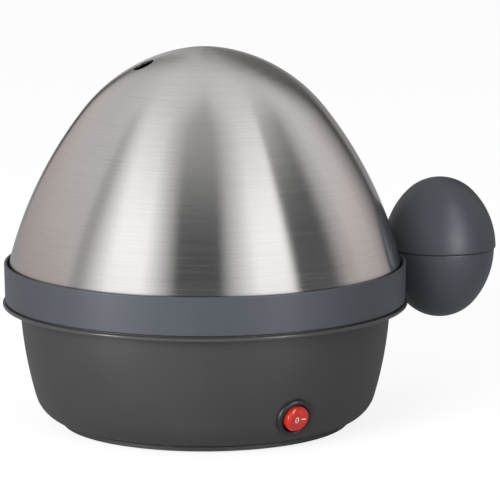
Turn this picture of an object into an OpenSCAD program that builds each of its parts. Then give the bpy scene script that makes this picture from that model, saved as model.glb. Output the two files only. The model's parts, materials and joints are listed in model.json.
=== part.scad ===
// Electric egg cooker for seven eggs: a moulded base with a steel water dish on
// a sheathed element, a lift-out egg tray, and a lift-off steel dome in a
// plastic ring that carries an egg-shaped side handle.
// Millimetres. Z is up from the worktop, the round body turns about the Z axis,
// and the switch faces -Y.

/* [Overall] */
// Radius of the lid ring at its top edge
rim_r = 88.2; // [78:0.1:108]
// Height of the base flange's top face over the worktop
body_h = 54.9; // [45:0.1:66]
// Height of the lid ring
ring_h = 16.6; // [14:0.1:24]
// Height of the steel dome over the lid ring
dome_h = 94; // [78:0.5:115]
// How far the lid is turned on the base, from +X to the handle
lid_turn = -13; // [-30:1:30]

/* [Base housing] */
// Wall thickness of the mouldings
wall = 2.2; // [1.8:0.1:2.8]
// How far the bowl's top lies inside the rim
bowl_inset = 6.9; // [5:0.1:9]
// How much narrower the bowl is where it turns under
bowl_taper = 6.5; // [4:0.1:9]
// Height at which the wall turns under
corner_z = 13.2; // [11:0.1:15]
// Radius of the bulge of the wall's outline
wall_bulge_r = 175; // [140:1:260]
// How far the flange stands out past the rim
flange_over = 0.7; // [0.4:0.1:1.5]
// Thickness of the flange
flange_t = 1.6; // [1.2:0.1:2.4]
// Height of the raised land that carries the lid
land_h = 0.4; // [0.2:0.1:1.2]
// Width of the groove under the lid ring's edge
groove_w = 1.2; // [0.6:0.1:1.6]
// Height of the upstand that centres the lid
upstand_h = 4; // [3:0.1:5]

/* [Bottom cover] */
// How far the cover's rim lies inside the wall that turns under
foot_inset = 11.3; // [10.5:0.1:12.5]
// Thickness of the cover
cover_t = 1.9; // [1.6:0.1:2.2]
// How far the rubber ring stands out under the cover
foot_proud = 0.8; // [0.5:0.1:1]
// Number of cover screws
cover_screws_n = 4; // [4:4:4]
// Radius of the screws' shanks
screw_r = 1.25; // [1:0.05:1.5]

/* [Water dish and element] */
// Depth of the water dish
dish_depth = 7.8; // [6:0.1:10]
// Sheet thickness of the dish
dish_t = 0.8; // [0.6:0.1:1]
// Distance from the rim to the well that holds the dish
well_inset = 18.2; // [16:0.1:22]
// Depth of the well's ledge under the deck
ledge_drop = 7.8; // [7:0.1:9]
// Width of the well's ledge
ledge_w = 8.5; // [7:0.1:10]
// Thickness of the heat spreader
spreader_t = 5; // [4:0.1:6]
// Distance from the spreader's edge to the element's loop
element_inset = 12.2; // [9:0.1:15]
// Radius of the element's sheath
sheath_r = 3.25; // [2.8:0.05:3.6]
// Half of the gap between the element's ends, in degrees
element_gap = 25; // [20:1:35]

/* [Egg tray] */
// Diameter of the egg holes
egg_hole_d = 33; // [30:0.5:36]
// Number of eggs round the middle one
outer_eggs = 6; // [6:1:6]
// Distance of the outer eggs from the middle
egg_ring_r = 50; // [48:0.5:54]
// Thickness of the tray
tray_t = 1.8; // [1.5:0.1:2.4]
// Height of the tray's finger tabs
tab_h = 22; // [16:1:28]

/* [Lid] */
// Thickness of the lid ring's lip
lip_t = 1.3; // [1:0.1:1.6]
// Thickness of the lid ring's wall
ring_wall = 1.9; // [1.7:0.1:2.3]
// How much narrower the lid ring is at its bottom
ring_draft = 0.3; // [0:0.1:0.8]
// Gap between the lip and the dome
dome_gap = 1; // [0.5:0.1:1.6]
// Sheet thickness of the dome
dome_t = 0.8; // [0.6:0.1:1]
// Depth of the dome's seat under the lip
seat_depth = 4.8; // [4:0.1:6]
// Radius of the dome's crown
crown_r = 51.2; // [45:0.1:65]
// Half-angle of the crown
crown_angle = 9.2; // [5:0.1:15]
// Radius of the dome's shoulder
shoulder_r = 71.1; // [66:0.1:78]
// Angle from the axis at which the shoulder meets the side
shoulder_angle = 51.8; // [45:0.1:56]
// Diameter of the steam vent
vent_d = 9.6; // [6:0.1:12]
// Distance of the steam vent from the axis
vent_reach = 27.7; // [20:0.1:34]
// Number of lid screws
lid_screws_n = 6; // [4:1:8]

/* [Handle] */
// Radius of the egg's upper half
egg_r = 25.1; // [22:0.1:27]
// How much smaller the lower half is
egg_step = 0.7; // [0.3:0.1:1.2]
// Height of each half of the egg
egg_half_h = 31.4; // [28:0.1:34]
// Distance from the lid ring's rim to the egg's middle
egg_stand = 21.8; // [21:0.1:23]
// Wall thickness of the egg's halves
egg_wall = 2.2; // [1.8:0.1:2.6]

/* [Switch] */
// Diameter of the switch's bezel
bezel_d = 18; // [16.5:0.1:19]
// Diameter of the rocker
rocker_d = 12.6; // [11.6:0.1:13]
// Height of the switch's middle over the worktop
switch_z = 15.8; // [15:0.1:20]
// Tilt of the rocker either way, in degrees
rocker_tilt = 7; // [5:0.5:8]
// Radius of the rocker's pivot pins
pivot_r = 0.9; // [0.7:0.05:1]

/* [Cord inlet] */
// Radius of the bore for the mains lead
cord_r = 3.3; // [2.8:0.1:3.6]
// Height of the inlet over the worktop
inlet_z = 17; // [16:0.5:24]

/* [Fits] */
// Gap between pieces that lie on each other and lift apart
seat_gap = 0.3; // [0.2:0.05:0.4]
// Radial clearance of a screw or pin in its hole
pin_gap = 0.05; // [0.03:0.01:0.08]
// Clearance round pieces that drop into place
drop_gap = 0.5; // [0.3:0.1:0.7]

/* [Hidden] */
$fn = 96;
eps = 0.01;

steel = [0.72, 0.72, 0.71];
shell_grey = [0.29, 0.29, 0.3];
ring_grey = [0.37, 0.39, 0.43];
tray_grey = [0.16, 0.16, 0.17];
zinc = [0.6, 0.6, 0.62];

// ---- levels, from the worktop up
cover_z = foot_proud;
foot_h = cover_z + cover_t;
flange_z = body_h - flange_t;
land_z = body_h + land_h;
deck_z = land_z - wall;
ledge_z = land_z - ledge_drop;
seal_h = 1.5;
rim_z = ledge_z + seal_h;
dish_z = rim_z - dish_depth + dish_t;
spreader_z = dish_z - dish_t - spreader_t;
ring_z = land_z + seat_gap;
ring_top = ring_z + ring_h;
shelf_z = ring_top - seat_depth;

// ---- radii, from the rim in
flange_r = rim_r + flange_over;
bowl_top_r = rim_r - bowl_inset;
bowl_low_r = bowl_top_r - bowl_taper;
foot_r = bowl_low_r - foot_inset;
ring_in_r = rim_r - ring_draft - ring_wall;
upstand_r = ring_in_r - drop_gap;
upstand_t = 1.6;
tray_r = upstand_r - upstand_t - drop_gap;
land_r = rim_r - groove_w;
well_r = rim_r - well_inset;
ledge_r = well_r - ledge_w;
dish_rim_r = well_r - drop_gap;
lip_in_r = rim_r - lip_t;
dome_foot_r = lip_in_r - dome_gap;

// ---- the housing's wall: a shallow arc that runs into a tight one under the body
wall_low = [bowl_low_r, corner_z];
wall_high = [bowl_top_r, flange_z];
wall_chord = norm(wall_high - wall_low);
chord_dir = (wall_high - wall_low) / wall_chord;
bulge_c = (wall_low + wall_high) / 2
    + sqrt(wall_bulge_r ^ 2 - wall_chord ^ 2 / 4) * [-chord_dir[1], chord_dir[0]];
bulge_low = atan2(wall_low[1] - bulge_c[1], wall_low[0] - bulge_c[0]);
corner_r = (corner_z - foot_h) / (1 + sin(bulge_low));
corner_c = wall_low - corner_r * [cos(bulge_low), sin(bulge_low)];

// Steps of the arcs in the outlines, in degrees: of the widest, of the dome's shoulder, and of the tight ones
wide_step = 1.2;
shoulder_step = 2;
tight_step = 4;

// The point at an angle on a circle about c.
function at(c, r, a) = c + r * [cos(a), sin(a)];

// The points of an arc from angle a to angle b, in steps of about arc_step degrees, from the first one on.
function arc(c, r, a, b, arc_step, first = 0) =
    let (n = ceil(abs(b - a) / arc_step)) [for (i = [first:n]) at(c, r, a + (b - a) * i / n)];

// The area inside the housing's wall, moved inwards by t, from its floor up to a height.
module bowl_area(t, top) {
    r = wall_bulge_r - t;
    polygon(concat([[0, foot_h + t]], arc(corner_c, corner_r - t, -90, bulge_low, tight_step),
                   arc(bulge_c, r, bulge_low, asin((top - bulge_c[1]) / r), wide_step, 1), [[0, top]]));
}

// Radius and slope of the housing's wall at a height.
function wall_angle(z) = asin((z - bulge_c[1]) / wall_bulge_r);
function wall_r(z) = bulge_c[0] + wall_bulge_r * cos(wall_angle(z));

// ---- the dome's outline: crown, shoulder and side arcs, each running into the next
function lean(a) = [sin(a), cos(a)];
crown_c = [0, dome_h - crown_r];
shoulder_c = crown_c + (crown_r - shoulder_r) * lean(crown_angle);
to_foot = [dome_foot_r, 0] - shoulder_c;
side_more = (to_foot * to_foot - shoulder_r ^ 2) / (2 * (shoulder_r - to_foot * lean(shoulder_angle)));
side_r = shoulder_r + side_more;
side_c = shoulder_c - side_more * lean(shoulder_angle);
foot_angle = atan2(dome_foot_r - side_c[0], -side_c[1]);

// The area inside the dome's outline over the lid ring's top, moved outwards by t.
module dome_area(t) {
    translate([0, ring_top]) polygon(concat(
        [[0, -seat_depth], [dome_foot_r + t, -seat_depth]],
        arc(side_c, side_r + t, 90 - foot_angle, 90 - shoulder_angle, wide_step),
        arc(shoulder_c, shoulder_r + t, 90 - shoulder_angle, 90 - crown_angle, shoulder_step, 1),
        arc(crown_c, crown_r + t, 90 - crown_angle, 90, shoulder_step, 1)));
}

vent_angle = asin((vent_reach - shoulder_c[0]) / shoulder_r);
vent_z = ring_top + shoulder_c[1] + shoulder_r * cos(vent_angle);

// ---- placing
module around(n, r, start = 0) {
    for (i = [0:n - 1]) rotate([0, 0, start + 360 * i / n]) translate([r, 0, 0]) children();
}

module on_lid() {
    rotate([0, 0, lid_turn]) children();
}

// Puts +Z along the wall's outward normal, at a height on the side that faces the given way.
module on_wall(z, turn) {
    rotate([0, 0, turn + 90])
        translate([0, -wall_r(z), z])
            rotate([90 - wall_angle(z), 0, 0]) children();
}

// A straight slot of width 2 r between two points on X, along Z.
module slot(x, r, h) {
    translate([-x, -r, 0]) cube([2 * x, 2 * r, h]);
    for (s = [-1, 1]) translate([s * x, 0, 0]) cylinder(r = r, h = h);
}

module tube(r, hole, h) {
    difference() {
        cylinder(r = r, h = h);
        translate([0, 0, -1]) cylinder(r = hole, h = h + 2);
    }
}

// ---- base
lip_r = foot_r - 7;
boss_r = 3.6;
boss_reach = foot_r - 3.5;
boss_h = 15;
boss_turn = 45;
deck_ribs = 8;
rib_t = 1.6;
rib_h = 9;
front = -90;
rear = 90;
switch_body_r = bezel_d / 2 - 0.8;
bush_neck_w = 2 * cord_r + 4;
bush_flange_w = bush_neck_w + 4;
spot_depth = 0.6;
spot_gap = 0.4;
pad_h = 4;

// A square bar of width w with cut corners, as the neck and the flange of the inlet's bush have.
module bush_bar(w, h) {
    side = w / 2;
    flat = side - 1.5;
    linear_extrude(h) polygon([[side, flat], [flat, side], [-flat, side], [-side, flat],
                               [-side, -flat], [-flat, -side], [flat, -side], [side, -flat]]);
}

// Half of the housing's section: the bowl's shell, the flange and land, the upstand, and the well
// whose ledge carries the water dish.
module housing_profile() {
    edge_r = 0.37 * flange_t;
    edge_step = 15;
    difference() {
        union() {
            bowl_area(0, flange_z);
            polygon(concat([[0, flange_z]],
                           arc([flange_r - edge_r, flange_z + edge_r], edge_r, -90, 0, edge_step),
                           arc([flange_r - edge_r, body_h - edge_r], edge_r, 0, 90, edge_step),
                           [[land_r, body_h], [land_r, land_z], [0, land_z]]));
            translate([upstand_r - upstand_t, land_z - 1]) square([upstand_t, upstand_h + 1]);
        }
        difference() {
            bowl_area(wall, deck_z);
            translate([0, ledge_z - wall]) square([well_r + wall, land_z]);
        }
        translate([0, ledge_z]) square([well_r, ledge_drop + 1]);
        square([ledge_r, land_z]);
        square([lip_r, foot_h + wall + 1]);
    }
}

module base_housing() {
    color(shell_grey) difference() {
        union() {
            rotate_extrude() housing_profile();
            around(cover_screws_n, boss_reach, boss_turn) {
                translate([0, 0, foot_h]) cylinder(r = boss_r, h = boss_h);
                translate([0, -wall / 2, corner_z - 3]) cube([bowl_low_r - boss_reach - 2, wall, 7]);
            }
            around(deck_ribs, well_r + wall - 1, 22.5) translate([0, -rib_t / 2, deck_z - rib_h])
                cube([bowl_top_r - well_r - 2 * wall + 0.5, rib_t, rib_h]);
            on_wall(switch_z, front) translate([0, 0, -pad_h])
                cylinder(r = bezel_d / 2 + spot_gap, h = pad_h - spot_depth);
            on_wall(inlet_z, rear) translate([0, 0, -pad_h])
                cylinder(d = bush_flange_w + 2 * spot_gap, h = pad_h - spot_depth);
        }
        around(cover_screws_n, boss_reach, boss_turn)
            translate([0, 0, foot_h - 1]) cylinder(r = screw_r + pin_gap, h = boss_h - 1);
        on_wall(switch_z, front) {
            translate([0, 0, -12]) cylinder(r = switch_body_r + pin_gap, h = 24);
            translate([0, 0, -spot_depth]) cylinder(r = bezel_d / 2 + spot_gap, h = 12);
        }
        on_wall(inlet_z, rear) {
            translate([0, 0, -12]) bush_bar(bush_neck_w + 2 * pin_gap, 24);
            translate([0, 0, -spot_depth]) bush_bar(bush_flange_w + 2 * spot_gap, 12);
        }
    }
}

foot_ring_r = foot_r - 9;
foot_ring_w = 4.5;
foot_ring_sink = 1;
block_size = [30, 13, 9];
block_y = 28;
head_r = 2.6;
head_h = 1.3;

module bottom_cover() {
    color(shell_grey) difference() {
        union() {
            translate([0, 0, cover_z]) cylinder(r = foot_r - 0.3, h = 0.3);
            translate([0, 0, cover_z + 0.3]) cylinder(r = foot_r, h = cover_t - 0.3);
            translate([0, 0, foot_h - 0.5]) tube(lip_r - drop_gap, foot_ring_r, wall + 0.5);
            for (x = [-1, 1]) translate([x * (block_size[0] / 2 + 1.1) - 1, block_y - 3, foot_h - 0.5])
                cube([2, 6, 5.5]);
        }
        translate([0, 0, cover_z - 1])
            tube(foot_ring_r, foot_ring_r - foot_ring_w, foot_ring_sink + 1);
        around(cover_screws_n, boss_reach, boss_turn) translate([0, 0, cover_z]) {
            translate([0, 0, -1]) cylinder(r = screw_r + 0.25, h = 12);
            translate([0, 0, -0.1]) cylinder(r1 = head_r + 0.2, r2 = screw_r + 0.2, h = head_h + 0.1);
        }
        for (y = [-30:6:12]) translate([0, y, -1]) slot(26 - abs(y + 9) / 3, 1.2, 8);
    }
}

// A rubber ring of T section, pressed in the cover's groove.
module foot_ring() {
    inner_r = foot_ring_r - foot_ring_w;
    color([0.2, 0.2, 0.2]) rotate_extrude() {
        translate([inner_r + 0.1, foot_proud / 2])
            square([foot_ring_w - 0.2, foot_proud / 2 + foot_ring_sink]);
        translate([inner_r + 0.5, 0]) square([foot_ring_w - 1, 1]);
    }
}

// A countersunk screw that points up from z = 0.
module flat_screw(length) {
    difference() {
        union() {
            cylinder(r1 = head_r, r2 = screw_r, h = head_h);
            cylinder(r = screw_r, h = length);
        }
        for (a = [0, 90]) rotate([0, 0, a]) cube([2.4, 0.6, 1.2], center = true);
    }
}

// A pan-head screw whose head lies under z = 0.
module pan_screw(shank_r, pan_r, pan_h, length) {
    difference() {
        union() {
            translate([0, 0, -pan_h]) cylinder(r1 = pan_r - 0.4, r2 = pan_r, h = 0.4);
            translate([0, 0, 0.4 - pan_h]) cylinder(r = pan_r, h = pan_h - 0.4);
            cylinder(r = shank_r, h = length);
        }
        translate([0, 0, -pan_h]) for (a = [0, 90]) rotate([0, 0, a])
            cube([pan_r * 1.1, 0.6, 1.4], center = true);
    }
}

module cover_screws() {
    color(zinc) around(cover_screws_n, boss_reach, boss_turn)
        translate([0, 0, cover_z + 0.05]) flat_screw(boss_h - 2);
}

// ---- water dish and what heats it
module plate_seal() {
    color([0.75, 0.3, 0.25]) rotate_extrude()
        translate([ledge_r + 1, ledge_z]) square([well_r - ledge_r - 1.5, seal_h]);
}

dish_lip_h = 3;
dish_bend = 4;
dish_slope = 70;
dish_run = dish_bend * sin(dish_slope)
    + (dish_depth - dish_bend * (1 - cos(dish_slope))) / tan(dish_slope);
dish_floor_r = ledge_r - drop_gap - dish_run;

// The area in the dish, moved inwards by t: a flat floor that bends up into a sloping side.
module dish_area(t) {
    c = [dish_floor_r, dish_z - dish_t + dish_bend];
    bend = arc(c, dish_bend - t, -90, dish_slope - 90, tight_step);
    last = bend[len(bend) - 1];
    top = rim_z + 1;
    polygon(concat([[0, bend[0][1]]], bend, [[last[0] + (top - last[1]) / tan(dish_slope), top], [0, top]]));
}

// The dish: one sheet with a flat rim that lies on the seal and a lip round it.
module heating_plate() {
    color(steel) rotate_extrude() difference() {
        union() {
            intersection() {
                dish_area(0);
                square([rim_r, rim_z + dish_t]);
            }
            translate([dish_floor_r, rim_z]) square([dish_rim_r - dish_floor_r, dish_lip_h]);
        }
        dish_area(dish_t);
        translate([0, rim_z + dish_t]) square([dish_rim_r - dish_t, dish_lip_h]);
    }
}

spreader_r = dish_floor_r - 5;
element_r = spreader_r - element_inset;
studs = 3;
stud_reach = 24;
stud_turn = 30;
stud_r = 2;
stud_end = 5;
clip_reach = 14;
clip_r = 3.4;
clip_t = 1;
cap_h = 3.5;
fuse_reach = 24;
fuse_turn = 210;
fuse_r = 2.2;
fuse_l = 16;
fuse_pin_r = 0.6;
fuse_pin_l = 4;
fuse_ear = 6.4;
fuse_strip = 0.8;
spider_drop = 10.2;
spider_z = spreader_z - spider_drop;
spider_t = 1.5;
spider_w = 12;

module at_fuse() {
    rotate([0, 0, fuse_turn]) translate([fuse_reach, 0, spreader_z]) children();
}

// Places what sits at the two ends of the thermostat's clip.
module at_clip(z) {
    for (x = [-1, 1]) translate([x * clip_reach, 0, z]) children();
}

module heat_spreader() {
    color([0.66, 0.67, 0.69]) difference() {
        union() {
            translate([0, 0, spreader_z]) cylinder(r = spreader_r, h = spreader_t);
            at_clip(spreader_z - cap_h) cylinder(r = clip_r, h = cap_h + 1);
        }
        translate([0, 0, spreader_z]) rotate_extrude()
            translate([element_r, 0]) circle(r = sheath_r + pin_gap);
        at_clip(spreader_z - cap_h - 1) cylinder(r = screw_r + pin_gap, h = cap_h + 4);
        at_fuse() translate([fuse_ear, 0, -1]) cylinder(r = screw_r + pin_gap, h = 4.5);
    }
}

end_turns = [rear - element_gap, rear + element_gap];
end_r = sheath_r - 0.15;
end_h = 8;
corner_ball_r = sheath_r + 0.8 * pin_gap;
bead_h = 3;
pin_l = 7;
tab = [4.8, 0.8, 7];
pin_r = 1.05;
pin_tab_h = 4;

module heating_element() {
    color([0.35, 0.34, 0.33]) translate([0, 0, spreader_z]) {
        rotate([0, 0, end_turns[1]]) rotate_extrude(angle = 360 - 2 * element_gap)
            translate([element_r, 0]) circle(r = sheath_r);
        for (a = end_turns) rotate([0, 0, a]) translate([element_r, 0, 0]) {
            sphere(r = corner_ball_r);
            translate([0, 0, -end_h]) cylinder(r = end_r, h = end_h);
        }
    }
}

module at_ends() {
    for (a = end_turns) rotate([0, 0, a]) translate([element_r, 0, spreader_z - end_h]) children();
}

module element_beads() {
    color([0.93, 0.92, 0.88]) at_ends() translate([0, 0, -bead_h])
        tube(end_r - 0.15, pin_r + pin_gap, bead_h);
}

module element_pins() {
    color(zinc) at_ends() {
        translate([0, 0, -pin_l]) cylinder(r = pin_r, h = pin_l);
        translate([-tab[1] / 2, -tab[0] / 2, -pin_l - pin_tab_h]) cube([tab[1], tab[0], pin_tab_h]);
    }
}

module plate_studs() {
    color(zinc) around(studs, stud_reach, stud_turn) translate([0, 0, spider_z - stud_end]) {
        cylinder(r = stud_r, h = spider_drop + stud_end);
        translate([0, 0, spider_drop + stud_end - 1]) cylinder(r = stud_r + 1.4, h = 1);
    }
}

// A ring on the studs with three arms that hook under the ledge of the well.
module clamp_spider() {
    strap_r = ledge_r - 1.4;
    strap_h = ledge_z - wall - spider_z;
    color(zinc) difference() {
        union() {
            translate([0, 0, spider_z]) tube(stud_reach + 4.5, spider_w, spider_t);
            around(studs, 0, stud_turn) translate([0, -spider_w / 2, spider_z]) {
                translate([stud_reach, 0, 0]) cube([strap_r + spider_t - stud_reach, spider_w, spider_t]);
                translate([strap_r, 0, 0]) cube([spider_t, spider_w, strap_h]);
                translate([strap_r, 0, strap_h - spider_t]) cube([7, spider_w, spider_t]);
            }
        }
        around(studs, stud_reach, stud_turn) translate([0, 0, spider_z - 1])
            cylinder(r = stud_r + 0.2, h = 4);
    }
}

nut_h = 3.2;

module stud_nuts() {
    color(zinc) around(studs, stud_reach, stud_turn) translate([0, 0, spider_z - nut_h]) difference() {
        cylinder(r = 4, h = nut_h, $fn = 6);
        translate([0, 0, -1]) cylinder(r = stud_r + pin_gap, h = nut_h + 2);
    }
}

thermo_r = 8;
thermo_h = 11;
thermo_tab_y = 4;

module thermostat() {
    color([0.15, 0.15, 0.16]) translate([0, 0, spreader_z]) {
        translate([0, 0, -cap_h]) cylinder(r = thermo_r, h = cap_h);
        translate([0, 0, -thermo_h]) cylinder(r = thermo_r - 1, h = thermo_h);
        for (y = [-1, 1]) translate([-tab[0] / 2, y * thermo_tab_y - tab[1] / 2, -thermo_h - tab[2]])
            cube([tab[0], tab[1], tab[2] + 1]);
    }
}

module thermostat_clip() {
    color(zinc) translate([0, 0, spreader_z - cap_h - clip_t]) difference() {
        union() {
            slot(clip_reach, clip_r, clip_t);
            cylinder(r = thermo_r + 1.6, h = clip_t);
        }
        translate([0, 0, -1]) cylinder(r = thermo_r - 0.85, h = clip_t + 2);
        at_clip(-1) cylinder(r = screw_r + 0.2, h = clip_t + 2);
    }
}

module clip_screws() {
    color(zinc) at_clip(spreader_z - cap_h - clip_t) pan_screw(screw_r, 2.3, 1.4, 6);
}

module thermal_fuse() {
    color([0.88, 0.86, 0.8]) at_fuse() translate([0, 0, -fuse_r]) rotate([90, 0, 0]) {
        cylinder(r = fuse_r, h = fuse_l, center = true);
        cylinder(r = fuse_pin_r, h = fuse_l + 2 * fuse_pin_l, center = true);
    }
}

// A strip bent over the fuse, with an ear for its screw.
module fuse_clip() {
    hug_r = fuse_r + pin_gap;
    color(zinc) at_fuse() difference() {
        union() {
            translate([0, 4, -fuse_r]) rotate([90, 0, 0]) cylinder(r = hug_r + fuse_strip, h = 8);
            translate([-fuse_r - 3, -4, -fuse_strip]) cube([fuse_ear + fuse_r + 6, 8, fuse_strip]);
        }
        translate([0, 5, -fuse_r]) rotate([90, 0, 0]) cylinder(r = hug_r, h = 10);
        translate([-hug_r, -5, -fuse_r]) cube([2 * hug_r, 10, 10]);
        translate([-20, -10, 0]) cube([40, 20, 5]);
        translate([fuse_ear, 0, -3]) cylinder(r = screw_r + 0.2, h = 6);
    }
}

module fuse_screw() {
    color(zinc) at_fuse() translate([fuse_ear, 0, -fuse_strip]) pan_screw(screw_r, 2.2, 1.4, 3.6);
}

// ---- switch
bezel_t = 1.8;
bezel_bevel = 0.9;
opening_r = rocker_d / 2 + 0.85;
pivot_depth = 2.6;
pivot_l = 2 * switch_body_r - 0.5;
cavity_h = 8;
switch_h = 15;
blade_x = 4.6;
rocker_proud = 0.9;
valley_drop = 0.5;

module switch_body() {
    top = bezel_t - spot_depth;
    color([0.12, 0.12, 0.13]) on_wall(switch_z, front) difference() {
        union() {
            translate([0, 0, -spot_depth]) cylinder(d = bezel_d, h = bezel_t - bezel_bevel);
            translate([0, 0, top - bezel_bevel])
                cylinder(r1 = bezel_d / 2, r2 = bezel_d / 2 - bezel_bevel / 2, h = bezel_bevel / 2);
            translate([0, 0, top - bezel_bevel / 2])
                cylinder(r1 = bezel_d / 2 - bezel_bevel / 2, r2 = opening_r + 0.5, h = bezel_bevel / 2);
            translate([0, 0, -switch_h]) cylinder(r = switch_body_r, h = switch_h);
            for (x = [-1, 1]) translate([x * (switch_body_r - 1.1), 0, -pad_h - 4.3])
                intersection() {
                    translate([-3, -2.5, 0]) cube([6, 5, 4]);
                    cylinder(r1 = 1.2, r2 = 2.4, h = 4);
                }
        }
        translate([0, 0, -cavity_h]) cylinder(r = opening_r, h = 12);
        translate([0, 0, -pivot_depth]) rotate([90, 0, 0])
            cylinder(r = pivot_r + pin_gap, h = pivot_l + 0.2, center = true);
    }
}

// The rocker: a round paddle whose face is a shallow valley, on two pins, pressed in on its "on" side.
module switch_rocker() {
    r = rocker_d / 2;
    face = pivot_depth + bezel_t - spot_depth + rocker_proud;
    color([0.85, 0.2, 0.17]) on_wall(switch_z, front) translate([0, 0, -pivot_depth])
        rotate([0, rocker_tilt, 0]) {
            intersection() {
                rotate([90, 0, 0]) linear_extrude(2 * r, center = true) polygon([
                    [-r, -2], [-r, face - 0.8], [-r + 0.9, face + 0.2], [0, face - valley_drop],
                    [r - 0.9, face + 0.2], [r, face - 0.8], [r, -2], [3, -4.2], [-3, -4.2]
                ]);
                union() {
                    translate([0, 0, -6]) cylinder(r = r, h = face + 5.2);
                    translate([0, 0, face - 0.81]) cylinder(r1 = r, r2 = r - 1, h = 1.2);
                }
            }
            rotate([90, 0, 0]) cylinder(r = pivot_r, h = pivot_l, center = true);
        }
}

module switch_terminals() {
    color(zinc) on_wall(switch_z, front) for (x = [-1:1])
        translate([x * blade_x - tab[1] / 2, -tab[0] / 2, -switch_h - tab[2]])
            cube([tab[1], tab[0], tab[2]]);
}

// ---- cord inlet and wiring
bush_l = 6.6;
bush_flange_t = 1.2;
bush_collar_h = 0.8;
snap_w = 1.2;
snap_l = 2;

module cord_bush() {
    color([0.1, 0.1, 0.1]) on_wall(inlet_z, rear) difference() {
        union() {
            translate([0, 0, -spot_depth]) bush_bar(bush_flange_w, bush_flange_t);
            translate([0, 0, bush_flange_t - spot_depth])
                cylinder(d1 = bush_flange_w - 1, d2 = bush_flange_w - 3, h = bush_collar_h);
            translate([0, 0, -bush_l]) bush_bar(bush_neck_w, bush_l);
            for (s = [-1, 1]) mirror([s < 0 ? 1 : 0, 0, 0]) rotate([90, 0, 0])
                linear_extrude(bush_neck_w / 2, center = true)
                    polygon([[0, -bush_l], [bush_neck_w / 2, -bush_l],
                             [bush_neck_w / 2 + snap_w, snap_l - bush_l], [0, snap_l - bush_l]]);
        }
        translate([0, 0, -20]) cylinder(r = cord_r, h = 40);
    }
}

pole_pitch = 9;
wire_hole_r = 1.6;
block_screw_r = 1.5;
block_screw_y = 3.2;

module terminal_block() {
    color([0.9, 0.9, 0.86]) translate([0, block_y, foot_h]) difference() {
        translate([-block_size[0] / 2, -block_size[1] / 2, 0]) cube(block_size);
        for (i = [-1:1]) translate([i * pole_pitch, 0, block_size[2] / 2]) {
            rotate([90, 0, 0]) cylinder(r = wire_hole_r, h = 2 * block_size[1], center = true);
            for (y = [-1, 1]) translate([0, y * block_screw_y, 0]) cylinder(r = block_screw_r, h = 10);
        }
    }
}

// The clamp screws of the block, sunk in its upper holes.
module block_screws() {
    color(zinc) translate([0, block_y, foot_h + block_size[2] / 2 + wire_hole_r + 0.1])
        for (i = [-1:1], y = [-1, 1]) translate([i * pole_pitch, y * block_screw_y, 0]) difference() {
            cylinder(r = block_screw_r - pin_gap, h = 2.2);
            translate([-2, -0.25, 1.6]) cube([4, 0.5, 1]);
        }
}

// A unit vector, and one step of a frame that turns as little as it can.
function unit(v) = v / norm(v);
function carried(u, t) = unit(u - (u * t) * t);
function tangent(p, i) = unit(p[min(i + 1, len(p) - 1)] - p[max(i - 1, 0)]);
function sides(p, u, i = 0) =
    i == len(p) ? [] : let (v = carried(u, tangent(p, i))) concat([v], sides(p, v, i + 1));

// A smooth route through a few points, rounded by quadratic curves between the middles of its legs.
function rounded(p, n) = concat([p[0]], [for (i = [1:len(p) - 2], k = [0:n])
    let (a = (p[i - 1] + p[i]) / 2, b = (p[i] + p[i + 1]) / 2, t = k / n)
        if (k < n || i == len(p) - 2) (1 - t) ^ 2 * a + 2 * t * (1 - t) * p[i] + t ^ 2 * b], [p[len(p) - 1]]);

// A lead of radius r along a route.
module lead(route, r, n = 8) {
    p = rounded(route, 4);
    u = sides(p, carried([0.3, 0.2, 1], tangent(p, 0)));
    points = [for (i = [0:len(p) - 1], k = [0:n - 1]) let (t = tangent(p, i), v = cross(t, u[i]))
        p[i] + r * (cos(360 * k / n) * u[i] + sin(360 * k / n) * v)];
    polyhedron(points, concat(
        [[for (k = [0:n - 1]) k]],
        [for (i = [0:len(p) - 2], k = [0:n - 1])
            [i * n + k, (i + 1) * n + k, (i + 1) * n + (k + 1) % n, i * n + (k + 1) % n]],
        [[for (k = [n - 1:-1:0]) (len(p) - 1) * n + k]]
    ));
}

// Where the leads start and end.
lead_r = 1.1;
blade_dir = [0, -cos(wall_angle(switch_z)), sin(wall_angle(switch_z))];
function pole(i) = [i * pole_pitch, block_y - block_size[1] / 2 + 2, foot_h + block_size[2] / 2];
function element_end(i) = [element_r * cos(end_turns[i]), element_r * sin(end_turns[i]),
    spreader_z - end_h - pin_l - pin_tab_h - 0.6];
function switch_blade(i) =
    [i * blade_x, -wall_r(switch_z), switch_z] - (switch_h + tab[2] + 0.6) * blade_dir;
function fuse_end(s) = fuse_reach * [cos(fuse_turn), sin(fuse_turn), 0]
    + s * (fuse_l / 2 + fuse_pin_l + 0.6) * [-sin(fuse_turn), cos(fuse_turn), 0]
    + [0, 0, spreader_z - fuse_r];
function thermo_tab(s) = [0, s * thermo_tab_y, spreader_z - thermo_h - tab[2] - 0.6];
stud_foot = [stud_reach * cos(stud_turn), stud_reach * sin(stud_turn), spider_z - stud_end - 0.1];

// How far a lead runs straight before it bends, and the level at which leads cross the base.
straight = 9;
run_z = foot_h + 5;

module live_leads() {
    color([0.45, 0.26, 0.14]) {
        lead([pole(-1), pole(-1) - [0, straight, 0], [-24, -4, run_z], [-16, -30, run_z],
              switch_blade(-1) - straight * blade_dir, switch_blade(-1)], lead_r);
        lead([switch_blade(0), switch_blade(0) - straight * blade_dir, [-12, -34, run_z + 10],
              fuse_end(1) + [2, -8, -9], fuse_end(1)], lead_r);
        lead([fuse_end(-1), fuse_end(-1) + [-4, 7, -6], [-32, 14, run_z + 7],
              element_end(1) - [3, 0, 7], element_end(1)], lead_r);
    }
}

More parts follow.
